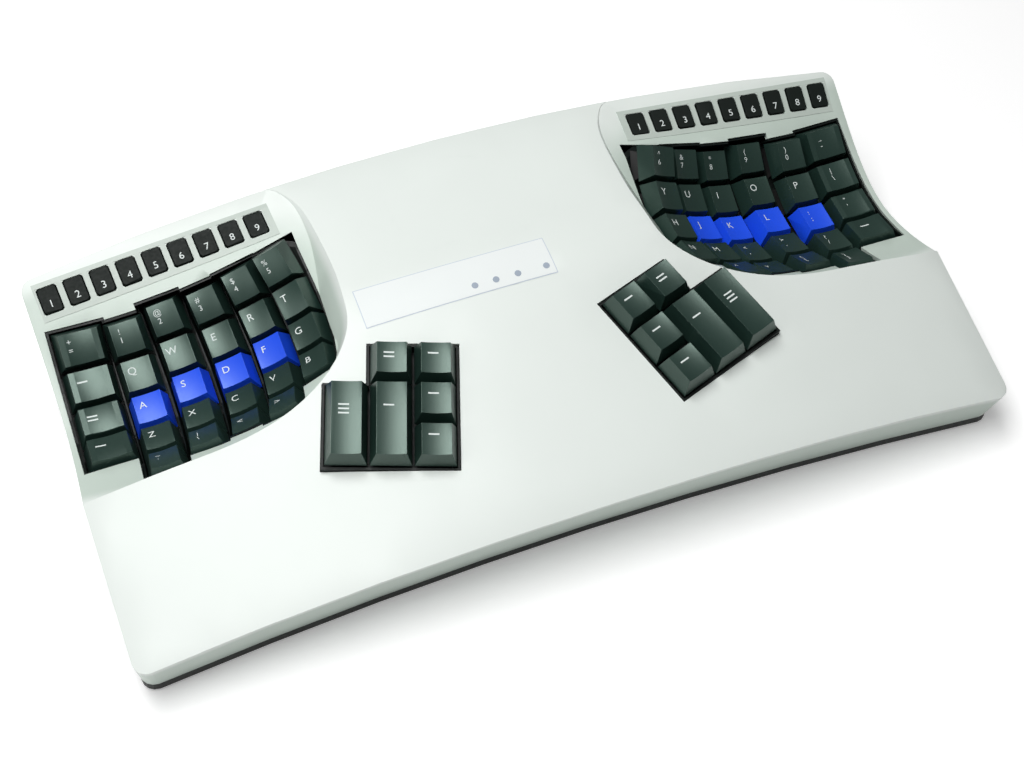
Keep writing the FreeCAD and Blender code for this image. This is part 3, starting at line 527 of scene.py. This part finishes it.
def deck_height(x, y):
    """Height of the case's deck: palm slope, blend arc, level rear part."""
    palm = PALM[0] + PALM[1] * y - PALM[2] * x * x
    level = LEVEL[0] - LEVEL[1] * x * x
    knee = (level - PALM[0] + PALM[2] * x * x) / PALM[1]
    angle = asin(PALM[1] / hypot(1.0, PALM[1]))
    reach = BLEND_RADIUS * tan(angle / 2.0)
    if y <= knee - reach * cos(angle):
        return palm
    if y >= knee + reach:
        return level
    along = y - (knee + reach)
    return level - BLEND_RADIUS + (BLEND_RADIUS ** 2 - along ** 2) ** 0.5


def deck_patch(name, outline, sheet, material):
    """Thin sheet that follows the deck inside a rectangle."""
    x0, x1, y0, y1 = outline
    lift, thickness = sheet
    bm = bmesh.new()
    nx, ny = PATCH_GRID
    grid = []
    for j in range(ny + 1):
        line = []
        for i in range(nx + 1):
            x, y = x0 + (x1 - x0) * i / nx, y0 + (y1 - y0) * j / ny
            line.append(bm.verts.new(Vector((x, y, deck_height(x, y) + lift)) * MM))
        grid.append(line)
    for j in range(ny):
        for i in range(nx):
            bm.faces.new((grid[j][i], grid[j][i + 1], grid[j + 1][i + 1], grid[j + 1][i]))
    obj = piece_from(bm, name, "case", material)
    solid = obj.modifiers.new("thickness", "SOLIDIFY")
    solid.thickness = thickness * MM
    solid.offset = -1.0


def bare_plate():
    x0, x1, y0, y1 = PLATE
    deck_patch("plate_border", PLATE, BORDER_SHEET, "plate_edge")
    b = PLATE_BORDER
    deck_patch("plate_face", (x0 + b, x1 - b, y0 + b, y1 - b), FACE_SHEET, "plate")


# Floor and light, in metres and watts

FLOOR_HALF = 6.0
FLOOR_COLOR = (0.92, 0.92, 0.92)
FLOOR_ROUGHNESS = 0.9
WHITE = (1.0, 1.0, 1.0, 1.0)
# the floor's share of white for rays that show the background, near and far
FLOOR_GLOW = (0.28, 0.85)
FLOOR_REACH = (0.7, 2.6)
# strength of the world on the object, and for rays from the camera
WORLD_STRENGTH = (0.12, 1.0)
# name, place, aim, size and power of each lamp
LAMPS = [
    ("overhead_light", (-0.26, 0.04, 1.20), (-0.15, 0.0, 0.0), (1.10, 0.60), 14.8),
    ("side_light", (-1.00, -0.35, 0.75), (-0.10, 0.0, 0.0), (0.60, 0.50), 1.6),
]


def seen_ray(tree):
    """1 for rays that show the background: straight from the camera, mirrored or through glass."""
    ray = tree.nodes.new("ShaderNodeLightPath")
    last = ray.outputs["Is Camera Ray"]
    for kind in ("Is Glossy Ray", "Is Transmission Ray"):
        most = tree.nodes.new("ShaderNodeMath")
        most.operation = "MAXIMUM"
        tree.links.new(last, most.inputs[0])
        tree.links.new(ray.outputs[kind], most.inputs[1])
        last = most.outputs[0]
    return last


def make_floor():
    """Pale floor that keeps the object's shadow and glows only as a background."""
    mesh = bpy.data.meshes.new("floor")
    s = FLOOR_HALF
    mesh.from_pydata([(-s, -s, 0), (s, -s, 0), (s, s, 0), (-s, s, 0)], [], [(0, 1, 2, 3)])
    floor = bpy.data.objects.new("floor", mesh)
    bpy.context.scene.collection.objects.link(floor)
    n = Nodes("floor", FLOOR_COLOR, FLOOR_ROUGHNESS)
    n.shader.inputs["Emission Color"].default_value = WHITE
    away = n.new("ShaderNodeVectorMath", operation="LENGTH")
    n.link(n.coords.outputs["Object"], away.inputs[0])
    glow = n.new("ShaderNodeMapRange", interpolation_type="SMOOTHSTEP")
    n.link(away.outputs["Value"], glow.inputs["Value"])
    for end, distance, strength in zip(("Min", "Max"), FLOOR_REACH, FLOOR_GLOW):
        glow.inputs["From " + end].default_value = distance
        glow.inputs["To " + end].default_value = strength
    shown = n.math("MULTIPLY", seen_ray(n.tree), glow.outputs["Result"])
    n.link(shown, n.shader.inputs["Emission Strength"])
    mesh.materials.append(n.material)


def make_world():
    world = bpy.data.worlds.new("studio")
    bpy.context.scene.world = world
    world.use_nodes = True
    background = world.node_tree.nodes["Background"]
    background.inputs["Color"].default_value = WHITE
    strength = world.node_tree.nodes.new("ShaderNodeMapRange")
    for end, value in zip(("To Min", "To Max"), WORLD_STRENGTH):
        strength.inputs[end].default_value = value
    camera_ray = world.node_tree.nodes.new("ShaderNodeLightPath").outputs["Is Camera Ray"]
    world.node_tree.links.new(camera_ray, strength.inputs["Value"])
    world.node_tree.links.new(strength.outputs["Result"], background.inputs["Strength"])


def make_lamps():
    for name, at, aim, size, energy in LAMPS:
        data = bpy.data.lights.new(name, "AREA")
        data.shape = "RECTANGLE"
        data.size, data.size_y = size
        data.energy = energy
        light = bpy.data.objects.new(name, data)
        bpy.context.scene.collection.objects.link(light)
        light.location = at
        light.rotation_mode = "QUATERNION"
        light.rotation_quaternion = (Vector(aim) - Vector(at)).to_track_quat("-Z", "Y")


make_camera()
dress_cad()
print_keys()
bare_plate()
function_panel("left", False)
function_panel("right", True)
make_floor()
make_world()
make_lamps()
bpy.context.scene.view_settings.view_transform = "Standard"
